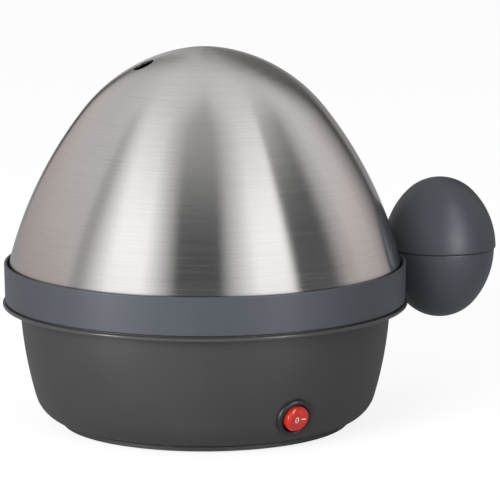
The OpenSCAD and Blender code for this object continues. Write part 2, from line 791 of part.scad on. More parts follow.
module neutral_leads() {
    color([0.16, 0.3, 0.62]) {
        lead([pole(0), pole(0) - [0, straight, 0], [2, 3, run_z], thermo_tab(1) - [0, 0, 4],
              thermo_tab(1)], lead_r);
        lead([thermo_tab(-1), thermo_tab(-1) - [0, 0, 5], [24, -8, run_z + 4], [32, 12, run_z + 5],
              element_end(0) - [-1, 0, 7], element_end(0)], lead_r);
        lead([switch_blade(1), switch_blade(1) - straight * blade_dir, [17, -24, run_z + 2],
              [13, -8, run_z + 5], thermo_tab(-1) + [2.6, -2.4, -1.4]], 0.8 * lead_r);
    }
}

module earth_lead() {
    color([0.35, 0.55, 0.2])
        lead([pole(1), pole(1) - [0, 7, 0], [24, 10, run_z], stud_foot - [0, 0, 6], stud_foot], lead_r);
}

// ---- egg tray
tray_z = land_z + seat_gap;
tray_top = tray_z + 4.6;
tab_r = tray_r - 8;
tab_w = 24;
tab_round = 5;
finger_r = 4.5;
steam_hole_r = 2;

module egg_spots() {
    children();
    around(outer_eggs, egg_ring_r, 30) children();
}

module egg_tray() {
    color(tray_grey) difference() {
        union() {
            rotate_extrude() {
                translate([0, tray_top - tray_t]) square([tray_r, tray_t]);
                translate([tray_r - 1.8, tray_z]) square([1.8, tray_top - tray_z]);
            }
            egg_spots() translate([0, 0, tray_top - tray_t]) cylinder(d = egg_hole_d + 4, h = tray_t + 1.6);
            for (s = [0, 180]) rotate([0, 0, s]) translate([tab_r - 1, 0, tray_top - tray_t]) {
                translate([0, -tab_w / 2, 0]) cube([2, tab_w, tab_h - tab_round]);
                translate([0, 0, tab_h - tab_round]) rotate([90, 0, 90])
                    slot(tab_w / 2 - tab_round, tab_round, 2);
                for (y = [-1, 1]) translate([-4, y * tab_w / 2 - 1, 0]) cube([5, 2, 7]);
            }
        }
        egg_spots() {
            translate([0, 0, tray_top - 6]) cylinder(d = egg_hole_d, h = 12);
            translate([0, 0, tray_top - 0.6]) cylinder(d1 = egg_hole_d, d2 = egg_hole_d + 3.4, h = 2.21);
        }
        around(6, tray_r - 9, 30) translate([0, 0, tray_top - 4]) cylinder(r = steam_hole_r, h = 8);
        around(6, egg_ring_r * 0.56) translate([0, 0, tray_top - 4]) cylinder(r = steam_hole_r, h = 8);
        for (s = [0, 180]) rotate([0, 0, s])
            translate([tab_r - 3, 0, tray_top - tray_t + tab_h - 4 - finger_r])
                rotate([90, 0, 90]) slot(tab_w / 2 - 4 - finger_r, finger_r, 6);
    }
}

// ---- lid
hem_r = dome_foot_r - dome_t - 4.8;
shelf_r = hem_r - 1.2;
screw_reach = dome_foot_r - dome_t - 2.2;
shelf_t = 2;
retainer_h = 3.4;
lid_shank_r = 1.2;

module dome_shell() {
    color(steel) on_lid() difference() {
        rotate_extrude() difference() {
            dome_area(0);
            intersection() {
                dome_area(-dome_t);
                translate([0, shelf_z + dome_t]) square([rim_r, dome_h + seat_depth]);
            }
            translate([0, shelf_z - 1]) square([hem_r, 3]);
        }
        translate([-vent_reach, 0, vent_z]) rotate([0, -vent_angle, 0])
            cylinder(d = vent_d, h = 12, center = true);
        around(lid_screws_n, screw_reach, 30) translate([0, 0, shelf_z - 1])
            cylinder(r = lid_shank_r + 0.3, h = 4);
    }
}

egg_x = rim_r + egg_stand;
egg_screw_r = 1.5;
egg_boss_r = 4.2;
egg_cap = 0.82;
recess_r = 3.8;
recess_top = ring_top - egg_half_h + 10;

// A quarter of an oval r wide and h high: a side arc that runs into a cap of radius cap_r.
module oval_area(r, h, cap_r) {
    side = (r ^ 2 + (h - cap_r) ^ 2 - cap_r ^ 2) / (2 * (r - cap_r));
    turn = atan2(h - cap_r, side - r);
    polygon(concat([[0, 0]], arc([r - side, 0], side, 0, turn, tight_step),
                   arc([0, h - cap_r], cap_r, turn, 90, tight_step, 1)));
}

// Half of an egg over z = 0, moved inwards by t.
module half_egg(r, t = 0) {
    rotate_extrude() oval_area(r - t, egg_half_h - t, egg_cap * r - t);
}

module at_egg() {
    translate([egg_x, 0, ring_top]) children();
}

// The lower half of the egg, open at the top, with a boss for the screw and a rib that centres the cap.
module egg_cup() {
    low_r = egg_r - egg_step;
    cup_r = low_r - egg_wall;
    mirror([0, 0, 1]) {
        difference() {
            half_egg(low_r);
            translate([0, 0, -eps]) half_egg(low_r, egg_wall);
        }
        intersection() {
            half_egg(low_r);
            cylinder(r = recess_r + egg_wall, h = egg_half_h);
        }
    }
    translate([0, 0, -2]) tube(cup_r + 0.6, cup_r - 1, 4);
}

module lid_ring() {
    edge = 0.3;
    color(ring_grey) on_lid() difference() {
        union() {
            rotate_extrude() polygon([
                [rim_r - ring_draft - edge, ring_z], [rim_r - ring_draft, ring_z + edge],
                [rim_r, ring_top - edge], [rim_r - edge, ring_top], [lip_in_r + edge, ring_top],
                [lip_in_r, ring_top - edge], [lip_in_r, shelf_z], [shelf_r, shelf_z],
                [shelf_r, shelf_z - shelf_t], [ring_in_r, shelf_z - shelf_t], [ring_in_r, ring_z]
            ]);
            difference() {
                at_egg() egg_cup();
                cylinder(r = rim_r - 1, h = ring_top + 10);
            }
        }
        translate([egg_x, 0, 0]) {
            cylinder(r = recess_r, h = recess_top);
            cylinder(r = egg_screw_r + 0.3, h = ring_top + 10);
        }
        around(lid_screws_n, screw_reach, 30) translate([0, 0, shelf_z - shelf_t - 1])
            cylinder(r = lid_shank_r + 0.3, h = 8);
    }
}

module retaining_ring() {
    color(ring_grey) on_lid() difference() {
        rotate_extrude() translate([hem_r, shelf_z + dome_t])
            square([dome_foot_r - dome_t - hem_r - 0.2, retainer_h]);
        around(lid_screws_n, screw_reach, 30) translate([0, 0, shelf_z])
            cylinder(r = lid_shank_r + pin_gap, h = dome_t + retainer_h - 0.8);
    }
}

module lid_screws() {
    color(zinc) on_lid() around(lid_screws_n, screw_reach, 30) translate([0, 0, shelf_z - shelf_t])
        pan_screw(lid_shank_r, 2.4, 1.5, shelf_t + dome_t + retainer_h - 1);
}

module handle_cap() {
    color(ring_grey) on_lid() difference() {
        at_egg() translate([0, 0, seat_gap]) {
            difference() {
                half_egg(egg_r);
                translate([0, 0, -eps]) half_egg(egg_r, egg_wall);
            }
            intersection() {
                half_egg(egg_r);
                cylinder(r = egg_boss_r, h = egg_half_h);
            }
            translate([0, 0, -seat_gap]) cylinder(r = egg_boss_r, h = seat_gap + 1);
        }
        translate([egg_x, 0, ring_top - 1]) cylinder(r = egg_screw_r + pin_gap, h = 20);
        rotate_extrude() dome_area(seat_gap + 0.1);
    }
}

module handle_screw() {
    color(zinc) on_lid() translate([egg_x, 0, recess_top])
        pan_screw(egg_screw_r, 3.2, 2.2, ring_top - recess_top + 16);
}

base_housing();
bottom_cover();
foot_ring();
cover_screws();
plate_seal();
heating_plate();
heat_spreader();
heating_element();
element_beads();
element_pins();
plate_studs();
clamp_spider();
stud_nuts();
thermostat();
thermostat_clip();
clip_screws();
thermal_fuse();
fuse_clip();
fuse_screw();
switch_body();
switch_rocker();
switch_terminals();
cord_bush();
terminal_block();
block_screws();
live_leads();
neutral_leads();
earth_lead();
egg_tray();
dome_shell();
lid_ring();
retaining_ring();
lid_screws();
handle_cap();
handle_screw();
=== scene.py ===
"""The looks of an electric egg cooker, made round its packed construction.

The file is laid out as an add-on: property groups hold the sizes and the colours, one operator
makes each piece, and one makes the stage. Lengths are in metres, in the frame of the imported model:
Z is up from the worktop, the round body turns about the Z axis, and the switch faces -Y.
"""
import json
from math import atan2, cos, pi, radians, sin

import bpy
import numpy as np
from bpy.props import FloatProperty, FloatVectorProperty, PointerProperty
from mathutils import Matrix, Vector


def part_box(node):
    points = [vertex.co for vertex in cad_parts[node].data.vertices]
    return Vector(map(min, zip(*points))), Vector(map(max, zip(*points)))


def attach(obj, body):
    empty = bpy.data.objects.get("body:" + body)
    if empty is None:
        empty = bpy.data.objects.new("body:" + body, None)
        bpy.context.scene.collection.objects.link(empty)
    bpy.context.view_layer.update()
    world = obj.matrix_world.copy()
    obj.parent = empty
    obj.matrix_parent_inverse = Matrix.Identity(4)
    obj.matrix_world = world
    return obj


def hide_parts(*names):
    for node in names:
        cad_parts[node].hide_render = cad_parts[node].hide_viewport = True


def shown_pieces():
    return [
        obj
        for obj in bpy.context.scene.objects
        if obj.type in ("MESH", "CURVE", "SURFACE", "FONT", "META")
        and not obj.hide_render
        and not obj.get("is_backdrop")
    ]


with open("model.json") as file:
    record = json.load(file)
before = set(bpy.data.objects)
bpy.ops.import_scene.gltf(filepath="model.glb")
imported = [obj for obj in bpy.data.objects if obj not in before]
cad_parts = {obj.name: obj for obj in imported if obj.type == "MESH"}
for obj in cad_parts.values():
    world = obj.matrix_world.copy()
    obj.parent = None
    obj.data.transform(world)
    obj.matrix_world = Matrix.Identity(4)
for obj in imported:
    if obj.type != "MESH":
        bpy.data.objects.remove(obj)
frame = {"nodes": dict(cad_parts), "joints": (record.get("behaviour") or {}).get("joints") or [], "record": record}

bl_info = {
    "name": "Egg Cooker Looks",
    "version": (1, 0, 0),
    "blender": (4, 5, 0),
    "location": "View3D > Sidebar > Egg Cooker",
    "description": "Makes the visible surfaces, finishes and stage of an electric egg cooker",
    "category": "Object",
}

MM = 0.001
# Points closer than this are one point, and two sides whose bisector is shorter lie in one line.
SAME_POINT, IN_LINE = 1e-7, 1e-6
# Faces that meet at more than this angle meet in a sharp edge.
SHARP_ANGLE = radians(35)


def low(node):
    """The lowest corner of a node's box."""
    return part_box(node)[0]


def high(node):
    """The highest corner of a node's box."""
    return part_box(node)[1]


# ---- levels and radii that the construction gives

RIM_R = -low("lid_ring").y
SHELF_Z = low("dome_shell").z
DOME_FOOT_R = -low("dome_shell").y
DOME_TOP = high("dome_shell").z


# ---- settings

def length(name, description, value, **limits):
    """A setting that is a length in metres."""
    return FloatProperty(name=name, description=description, default=value,
                         subtype="DISTANCE", unit="LENGTH", **limits)


def angle(name, description, value):
    """A setting that is an angle in radians."""
    return FloatProperty(name=name, description=description, default=value,
                         subtype="ANGLE", unit="ROTATION")


def colour(name, description, value):
    """A setting that is a linear colour."""
    return FloatVectorProperty(name=name, description=description, default=value, size=3,
                               min=0, max=1, subtype="COLOR")


class DomeSettings(bpy.types.PropertyGroup):
    """Sizes of the steel dome."""
    crown_r: length("Crown radius", "Radius of the arc over the apex", 51.2 * MM, min=0.04,
                    max=0.07)
    crown_angle: angle("Crown angle", "Angle from the axis at which the crown ends", radians(9.2))
    shoulder_r: length("Shoulder radius", "Radius of the arc under the crown", 71.1 * MM, min=0.05,
                       max=0.09)
    shoulder_angle: angle("Shoulder angle", "Angle from the axis at which it ends", radians(51.8))
    sheet: length("Sheet", "Thickness of the steel sheet", 0.8 * MM)
    vent_d: length("Vent", "Diameter of the steam vent", 9.6 * MM)
    vent_reach: length("Vent distance", "Distance of the vent from the axis", 27.7 * MM)


class LidSettings(bpy.types.PropertyGroup):
    """Sizes of the lid's plastic ring."""
    height: length("Height", "Height of the ring", 16.6 * MM)
    lip: length("Lip", "Thickness of the lip round the dome", 1.3 * MM)
    wall: length("Wall", "Thickness of the ring's wall", 1.9 * MM)
    draft: length("Draft", "How much narrower the ring is at its bottom", 0.3 * MM)
    seat: length("Seat", "Depth of the dome's seat under the lip", 4.8 * MM)


class HandleSettings(bpy.types.PropertyGroup):
    """Sizes of the egg-shaped handle."""
    turn: angle("Turn", "Direction of the handle from +X", radians(-13))
    radius: length("Radius", "Radius of the upper half at the seam", 25.1 * MM)
    step: length("Step", "How much smaller the lower half is", 0.7 * MM)
    half_height: length("Half height", "Height of each half", 31.4 * MM)
    stand: length("Stand", "Distance from the ring's rim to the egg's middle", 21.8 * MM)
    wall: length("Wall", "Wall thickness of the halves", 2.2 * MM)
    gap: length("Seam", "Gap between the halves", 0.3 * MM)
    cap: FloatProperty(name="Roundness",
                       description="Radius of the egg's ends as a share of its radius",
                       default=0.82, min=0.6, max=1)


class SwitchSettings(bpy.types.PropertyGroup):
    """Sizes of the switch's bezel and rocker, and of the marks printed on the rocker."""
    bezel_d: length("Bezel", "Diameter of the bezel", 17.2 * MM)
    bezel_h: length("Bezel height", "Height of the bezel over the body's wall", 1.2 * MM)
    rocker_d: length("Rocker", "Diameter of the rocker", 11.4 * MM)
    gap: length("Gap", "Gap round the rocker", 0.7 * MM)
    pivot: length("Pivot depth", "Depth of the rocker's pivot under the body's wall", 2.6 * MM)
    tilt: angle("Tilt", "How far the rocker is tipped at rest", radians(7))
    face: length("Face", "Height of the rocker's valley over its pivot", 4.7 * MM)
    slope: FloatProperty(name="Slope", description="Rise of each side of the valley per length",
                         default=0.13)
    edge: length("Edge", "Width of the rocker's rounded edge", 1.9 * MM)
    drop: length("Edge drop", "How far the rounded edge falls", 1.2 * MM)
    off_at: length("Off mark", "Place of the oval mark across the valley", -0.6 * MM)
    on_at: length("On mark", "Place of the bar mark across the valley", 2.75 * MM)
    stroke: length("Stroke", "Width of the marks' lines", 0.5 * MM)


class FinishSettings(bpy.types.PropertyGroup):
    """Colours of the finishes, linear."""
    steel: colour("Steel", "Colour of the brushed steel", (0.72, 0.71, 0.70))
    bowl: colour("Bowl", "Colour of the body's plastic", (0.052, 0.0515, 0.053))
    ring: colour("Ring", "Colour of the lid ring and the handle", (0.078, 0.086, 0.102))
    tray: colour("Tray", "Colour of the egg tray", (0.02, 0.02, 0.022))
    rocker: colour("Rocker", "Colour of the switch's rocker", (0.70, 0.032, 0.02))
    bezel: colour("Bezel", "Colour of the switch's bezel", (0.019, 0.02, 0.021))


class StageSettings(bpy.types.PropertyGroup):
    """The camera and the light."""
    azimuth: angle("Azimuth", "Direction of the camera round the object", radians(-30.7))
    elevation: angle("Elevation", "Height angle of the camera", radians(10.02))
    distance: length("Distance", "Distance of the camera from its aim", 1.5)
    view_angle: angle("View angle", "Width of the camera's view", radians(8.37))
    aim_right: length("Aim right", "How far right of the axis the camera aims", 19.69 * MM)
    aim_up: length("Aim height", "Height at which the camera aims", 76.56 * MM)


GROUPS = {
    "cooker_dome": DomeSettings, "cooker_lid": LidSettings, "cooker_handle": HandleSettings,
    "cooker_switch": SwitchSettings, "cooker_finish": FinishSettings, "cooker_stage": StageSettings,
}


# ---- outlines

def arc(centre, radius, start, end, steps):
    """Points of an arc: its centre plus its radius times the cosine and the sine of even angles."""
    a = np.linspace(start, end, steps + 1)
    return np.column_stack([centre[0] + radius * np.cos(a), centre[1] + radius * np.sin(a)])


def rounded(corners, steps):
    """A closed outline from rows of (x, y, r): each corner becomes an arc of radius r in steps.

    The arc's middle lies on the corner's bisector at r over the sine of half the angle, and its
    points swing from the bisector to either side by a right angle less that half angle.
    """
    corners = np.asarray(corners, float)
    p, r = corners[:, :2], corners[:, 2]
    u = np.roll(p, 1, axis=0) - p
    v = np.roll(p, -1, axis=0) - p
    u /= np.linalg.norm(u, axis=1, keepdims=True)
    v /= np.linalg.norm(v, axis=1, keepdims=True)
    bisector = u + v
    size = np.linalg.norm(bisector, axis=1, keepdims=True)
    straight = size < IN_LINE
    bisector = np.where(straight, 0, bisector / np.where(straight, 1, size))
    side = v - u
    side /= np.linalg.norm(side, axis=1, keepdims=True)
    half = np.arccos(np.clip((u * bisector).sum(1), -1, 1))
    half[straight[:, 0]] = pi / 2
    middle = p + bisector * (r / np.sin(half))[:, None]
    swing = np.linspace(-1, 1, steps + 1)[None, :] * (pi / 2 - half)[:, None]
    points = (middle[:, None] - bisector[:, None] * (r[:, None] * np.cos(swing))[..., None]
              + side[:, None] * (r[:, None] * np.sin(swing))[..., None]).reshape(-1, 2)
    apart = np.linalg.norm(points - np.roll(points, 1, axis=0), axis=1) > SAME_POINT
    return points[apart]


# ---- meshes

def new_piece(name, points, faces, body):
    """A mesh object from whole arrays of points and of faces with three or four corners each."""
    mesh = bpy.data.meshes.new(name)
    mesh.vertices.add(len(points))
    mesh.vertices.foreach_set("co", np.ascontiguousarray(points, np.float32).ravel())
    corners = np.concatenate([f.ravel() for f in faces])
    sizes = np.concatenate([np.full(len(f), f.shape[1]) for f in faces])
    mesh.loops.add(len(corners))
    mesh.loops.foreach_set("vertex_index", corners.astype(np.int32))
    mesh.polygons.add(len(sizes))
    mesh.polygons.foreach_set("loop_start", (np.cumsum(sizes) - sizes).astype(np.int32))
    mesh.update(calc_edges=True)
    mesh.validate()
    mesh.polygons.foreach_set("use_smooth", np.ones(len(sizes), bool))
    mesh.set_sharp_from_angle(angle=SHARP_ANGLE)
    piece = bpy.data.objects.new(name, mesh)
    bpy.context.scene.collection.objects.link(piece)
    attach(piece, body)
    return piece


def net(rows, looped=False):
    """Points and faces of a net of closed rows: neighbours in a row and in the next make a face.

    A first or last row that has shrunk to a point becomes a pole with a fan of triangles. A looped
    net also joins its last row to its first.
    """
    n, m = rows.shape[:2]
    ids = np.arange(n * m).reshape(n, m)
    if not looped:
        for end in (0, n - 1):
            if np.ptp(rows[end], axis=0).max() < SAME_POINT:
                ids[end] = ids[end, 0]
    beside = np.roll(ids, -1, axis=1)
    if looped:
        above, above_beside = np.roll(ids, -1, axis=0), np.roll(beside, -1, axis=0)
    else:
        above, above_beside, ids, beside = ids[1:], beside[1:], ids[:-1], beside[:-1]
    quads = np.stack([ids, beside, above_beside, above], axis=-1).reshape(-1, 4)
    low_pole, high_pole = quads[:, 0] == quads[:, 1], quads[:, 2] == quads[:, 3]
    triangles = np.concatenate([quads[low_pole][:, [0, 2, 3]], quads[high_pole][:, [0, 1, 2]]])
    quads = quads[~(low_pole | high_pole)]
    corners = np.concatenate([quads.ravel(), triangles.ravel()])
    used, packed = np.unique(corners, return_inverse=True)
    points = rows.reshape(-1, 3)[used]
    quads, triangles = packed[:quads.size].reshape(-1, 4), packed[quads.size:].reshape(-1, 3)
    return points, [quads, triangles]


def joined(*nets):
    """Several nets as one: each one's faces count on from the points before it."""
    points, quads, triangles, count = [], [], [], 0
    for p, (q, t) in nets:
        points.append(p)
        quads.append(q + count)
        triangles.append(t + count)
        count += len(p)
    return np.concatenate(points), [np.concatenate(quads), np.concatenate(triangles)]


def turned(outline, steps, centre=(0, 0)):
    """Rows of a turned surface: each outline point (radius, height) goes round an upright axis."""
    a = np.linspace(0, 2 * pi, steps, endpoint=False)
    r, z = outline[:, :1], np.repeat(outline[:, 1:], steps, axis=1)
    return np.stack([centre[0] + r * np.cos(a), centre[1] + r * np.sin(a), z], axis=-1)


def weighted(piece):
    """Weights normals by face area, so that flat stretches stay flat beside rounded edges."""
    piece.modifiers.new("weighted_normals", "WEIGHTED_NORMAL").keep_sharp = True


# ---- the dome's outline

def dome_arcs(s):
    """Centres, radii and end angles of the crown, shoulder and side arcs, each tangent to the next.

    The side arc's centre lies on the line through the shoulder's centre and its end, as far back as
    makes it pass through the dome's foot.
    """
    ring_top = SHELF_Z + bpy.context.scene.cooker_lid.seat

    def lean(a):
        """The direction at an angle from the axis."""
        return np.array([sin(a), cos(a)])

    crown_c = np.array([0, DOME_TOP - s.crown_r])
    shoulder_c = crown_c + (s.crown_r - s.shoulder_r) * lean(s.crown_angle)
    to_foot = np.array([DOME_FOOT_R, ring_top]) - shoulder_c
    slack = s.shoulder_r - to_foot @ lean(s.shoulder_angle)
    more = (to_foot @ to_foot - s.shoulder_r ** 2) / (2 * slack)
    side_c = shoulder_c - more * lean(s.shoulder_angle)
    foot = atan2(DOME_FOOT_R - side_c[0], ring_top - side_c[1])
    return [(crown_c, s.crown_r, 0, s.crown_angle),
            (shoulder_c, s.shoulder_r, s.crown_angle, s.shoulder_angle),
            (side_c, s.shoulder_r + more, s.shoulder_angle, foot)]


def dome_outline(offset=0.0):
    """The dome's outline, apex to foot, as (radius, height), moved outwards by an offset."""
    steps = 120
    stretches = [arc(c, r + offset, pi / 2 - a, pi / 2 - b, steps)
                 for c, r, a, b in dome_arcs(bpy.context.scene.cooker_dome)]
    return np.concatenate([stretches[0], stretches[1][1:], stretches[2][1:]])


def along(outline):
    """Distance along an outline to each of its points."""
    return np.concatenate([[0], np.cumsum(np.linalg.norm(np.diff(outline, axis=0), axis=1))])


def dome_radius(z, offset):
    """Radius of the dome at a height, moved outwards by an offset; below its foot, the foot's."""
    outline = dome_outline(offset)[::-1]
    return np.interp(z, outline[:, 1], outline[:, 0])


# ---- materials

def shade(c, k):
    """A colour made lighter or darker by a factor."""
    return tuple(min(1, v * k) for v in c)


class Nodes:
    """A node tree, with one short call for each kind of node."""

    def __init__(self, tree):
        self.tree = tree

    def add(self, kind, **settings):
        """A new node with its settings."""
        node = self.tree.nodes.new("ShaderNode" + kind)
        for key, value in settings.items():
            setattr(node, key, value)
        return node

    def feed(self, node, **values):
        """Links an output to each named or numbered input of a node, or sets the input's value."""
        for key, value in values.items():
            numbered = key[0] == "i" and key[1:].isdigit()
            socket = node.inputs[int(key[1:]) if numbered else key.replace("_", " ")]
            if isinstance(value, bpy.types.NodeSocket):
                self.tree.links.new(value, socket)
            else:
                socket.default_value = value
        return node

    def math(self, operation, a, b=0.0):
        """The outcome of an operation on one or two values."""
        return self.feed(self.add("Math", operation=operation), i0=a, i1=b).outputs[0]

    def mapped(self, value, start, end, a, b, **settings):
        """A value that runs from a to b as another runs from start to end."""
        node = self.add("MapRange", **settings)
        return self.feed(node, i0=value, i1=start, i2=end, i3=a, i4=b).outputs[0]

    def mix(self, factor, a, b, **settings):
        """A colour that runs from a to b with a factor."""
        node = self.add("Mix", data_type="RGBA", **settings)
        return self.feed(node, i0=factor, i6=a, i7=b).outputs[2]


class Finish(Nodes):
    """A material's node tree, with the patterns that the finishes share."""

    def __init__(self, name):
        self.material = bpy.data.materials.new(name)
        self.material.use_nodes = True
        super().__init__(self.material.node_tree)
        self.shader = self.tree.nodes["Principled BSDF"]

    def place(self):
        """Object coordinates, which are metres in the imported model's frame."""
        return self.add("TexCoord").outputs["Object"]

    def scaled(self, vector, x, y, z):
        """A vector stretched along each axis."""
        node = self.add("VectorMath", operation="MULTIPLY")
        return self.feed(node, i0=vector, i1=(x, y, z)).outputs[0]

    def noise(self, vector, scale, detail=2.0, roughness=0.5):
        """Cloudy noise: its scale, its levels of detail and how strong the finer levels are."""
        node = self.add("TexNoise")
        self.feed(node, Vector=vector, Scale=scale, Detail=detail, Roughness=roughness)
        return node.outputs["Fac"]

    def between(self, noise, a, b):
        """A value that runs from a to b over the middle of a noise's range."""
        return self.mapped(noise, 0.3, 0.7, a, b)

    def tint(self, noise, base, dark, light):
        """A base colour that runs from a darker to a lighter shade over the middle of a noise."""
        factor = self.between(noise, 0, 1)
        return self.mix(factor, (*shade(base, dark), 1), (*shade(base, light), 1))

    def bump(self, height, strength, distance):
        """Tilts the surface's normals by a height."""
        node = self.feed(self.add("Bump"), Height=height, Strength=strength, Distance=distance)
        self.feed(self.shader, Normal=node.outputs[0])

    def surface(self, **values):
        """The material, once its shader has its values."""
        self.feed(self.shader, **values)
        return self.material


def brushed_steel(name, base, depth=1.0, roughness=0.19, anisotropy=1.0):
    """Steel brushed round the Z axis: fine lines that follow circles, with broad faint clouds.

    The lines are noise that changes fast with radius less height, which always grows down a turned
    surface, and slowly along X and Y.
    """
    n = Finish(name)
    x, y, z = n.feed(n.add("SeparateXYZ"), i0=n.place()).outputs
    radius = n.math("SQRT", n.math("ADD", n.math("MULTIPLY", x, x), n.math("MULTIPLY", y, y)))
    down = n.math("SUBTRACT", radius, z)
    turned_place = n.feed(n.add("CombineXYZ"), X=x, Y=y, Z=down).outputs[0]
    fine = n.noise(n.scaled(turned_place, 55, 55, 5200), 1, detail=3, roughness=0.65)
    broad = n.noise(n.scaled(turned_place, 22, 22, 900), 1, detail=3, roughness=0.6)
    grain = n.math("ADD", n.math("MULTIPLY", fine, 0.65), n.math("MULTIPLY", broad, 0.35))
    n.bump(grain, strength=0.15 * depth, distance=0.04 * MM)
    tangent = n.add("Tangent", direction_type="RADIAL", axis="Z").outputs[0]
    return n.surface(Base_Color=n.tint(grain, base, 0.9, 1.06), Metallic=1.0, Tangent=tangent,
                     Roughness=n.between(grain, roughness * 0.85, roughness * 1.2),
                     Anisotropic=anisotropy, Anisotropic_Rotation=0.25)


def grained_plastic(name, base, roughness, grain=2600, depth=0.05 * MM, gloss=0.5, edge_highlight_r=None):
    """Moulded plastic with a fine spark-eroded grain, and broad faint changes of shade and gloss.

    Beyond a radius from the Z axis, if one is given, it is smoother, and its colour is painted paler there as a
    painted highlight along the edge.
    """
    n = Finish(name)
    place = n.place()
    broad = n.noise(place, 26)
    n.bump(n.noise(place, grain, roughness=0.6), strength=0.35, distance=depth)
    skin = n.tint(broad, base, 0.94, 1.06)
    rough = n.between(broad, roughness * 0.93, roughness * 1.07)
    if edge_highlight_r:
        # Past the radius the colour is painted paler, a painted highlight along the edge, and the roughness drops
        # for a glossier edge.
        edge, paler, smoother = 0.2 * MM, 1.5, 0.62
        span = n.feed(n.add("VectorMath", operation="LENGTH"), i0=n.scaled(place, 1, 1, 0))
        highlight_and_gloss = n.mapped(span.outputs["Value"], edge_highlight_r - edge, edge_highlight_r + edge, 0.0, 1.0)
        skin = n.mix(highlight_and_gloss, skin, (*shade(base, paler), 1))
        kept = n.math("SUBTRACT", 1.0, n.math("MULTIPLY", highlight_and_gloss, smoother))
        rough = n.math("MULTIPLY", rough, kept)
    return n.surface(Base_Color=skin, Roughness=rough, Specular_IOR_Level=gloss)


def smooth_plastic(name, base, roughness):
    """Glossy moulded plastic with a faint waviness from the mould."""
    n = Finish(name)
    place = n.place()
    n.bump(n.noise(place, 320, detail=1), strength=0.08, distance=0.06 * MM)
    return n.surface(Base_Color=n.tint(n.noise(place, 90), base, 0.97, 1.03), Roughness=roughness)


def sheet_metal(name, base, roughness):
    """Pressed or plated metal: faint long scratches and a cloudy lustre."""
    n = Finish(name)
    place = n.place()
    lines = n.noise(n.scaled(place, 1, 7, 7), 420, detail=3, roughness=0.6)
    n.bump(lines, strength=0.1, distance=0.04 * MM)
    cloud = n.noise(place, 60, detail=3, roughness=0.55)
    return n.surface(Base_Color=n.tint(cloud, base, 0.9, 1.05), Metallic=1.0,
                     Roughness=n.between(lines, roughness * 0.8, roughness * 1.25))


def cast_metal(name, base):
    """Cast metal: a pitted skin with darker low spots."""
    n = Finish(name)
    pits = n.noise(n.place(), 900, detail=4, roughness=0.7)
    n.bump(pits, strength=0.5, distance=0.2 * MM)
    return n.surface(Base_Color=n.tint(pits, base, 0.75, 1.1), Metallic=1.0, Roughness=0.55)


def rubber(name, base, roughness=0.75):
    """Soft moulded rubber with a dusty, dull skin."""
    n = Finish(name)
    place = n.place()
    dust = n.noise(place, 240, detail=4, roughness=0.7)
    n.bump(n.noise(place, 3000, roughness=0.6), strength=0.3, distance=0.05 * MM)
    return n.surface(Base_Color=n.tint(dust, base, 1, 1.35), Roughness=roughness,
                     Specular_IOR_Level=0.35)


def ceramic(name, base):
    """Unglazed ceramic: chalky with fine specks."""
    n = Finish(name)
    specks = n.noise(n.place(), 2500, detail=4, roughness=0.7)
    n.bump(specks, strength=0.3, distance=0.05 * MM)
    return n.surface(Base_Color=n.tint(specks, base, 0.88, 1), Roughness=0.8)


def red_rocker(name, base):
    """Translucent red plastic: clear depth, light that spreads under its skin, a glossy coat."""
    n = Finish(name)
    place = n.place()
    n.bump(n.noise(place, 500, detail=1), strength=0.05, distance=0.05 * MM)
    return n.surface(Base_Color=n.tint(n.noise(place, 260), base, 0.92, 1.1), Roughness=0.22,
                     Subsurface_Weight=0.35, Subsurface_Radius=(0.004, 0.0008, 0.0005),
                     Subsurface_Scale=0.6, Coat_Weight=0.3, Coat_Roughness=0.1)


FINISHES = {}
# The slots whose pieces the sheen lamps light.
SHEEN_SLOTS = ("bowl_plastic", "ring_plastic", "black_plastic", "red_lens")


def finish(slot):
    """The material of one of the record's slots, made once."""
    if slot in FINISHES:
        return FINISHES[slot]
    s = bpy.context.scene.cooker_finish
    # Beyond this radius, the bowl's flange edge gets a painted highlight and a glossier finish.
    flange_r = RIM_R + 0.1 * MM
    makers = {
        "bowl_plastic": lambda: grained_plastic(slot, s.bowl, 0.46, gloss=0.4, edge_highlight_r=flange_r),
        "ring_plastic": lambda: grained_plastic(slot, s.ring, 0.42, 2200, 0.04 * MM, gloss=0.35),
        "tray_plastic": lambda: grained_plastic(slot, s.tray, 0.38),
        "dome_steel": lambda: brushed_steel(slot, s.steel),
        "dish_steel": lambda: brushed_steel(slot, shade(s.steel, 0.95), 0.4, 0.24, 0.4),
        "cast_aluminium": lambda: cast_metal(slot, (0.6, 0.61, 0.63)),
        "element_sheath": lambda: sheet_metal(slot, (0.12, 0.11, 0.1), 0.5),
        "plated_steel": lambda: sheet_metal(slot, (0.6, 0.6, 0.58), 0.3),
        "foot_rubber": lambda: rubber(slot, (0.02, 0.02, 0.02)),
        "seal_rubber": lambda: rubber(slot, (0.36, 0.04, 0.025), 0.6),
        "ceramic": lambda: ceramic(slot, (0.8, 0.78, 0.72)),
        "black_plastic": lambda: smooth_plastic(slot, s.bezel, 0.4),
        "dark_phenolic": lambda: smooth_plastic(slot, (0.016, 0.013, 0.012), 0.45),
        "red_lens": lambda: red_rocker(slot, s.rocker),
        "mark_print": lambda: smooth_plastic(slot, (0.96, 0.84, 0.8), 0.4),
        "block_plastic": lambda: smooth_plastic(slot, (0.66, 0.66, 0.58), 0.5),
        "brown_lead": lambda: smooth_plastic(slot, (0.09, 0.03, 0.012), 0.4),
        "blue_lead": lambda: smooth_plastic(slot, (0.012, 0.035, 0.26), 0.4),
        "green_lead": lambda: smooth_plastic(slot, (0.08, 0.22, 0.015), 0.4),
    }
    FINISHES[slot] = makers[slot]()
    return FINISHES[slot]


def dress(piece, slot):
    """Gives a new piece the finish of one of the record's slots."""
    piece.data.materials.clear()
    piece.data.materials.append(finish(slot))


# ---- operators, one for each piece

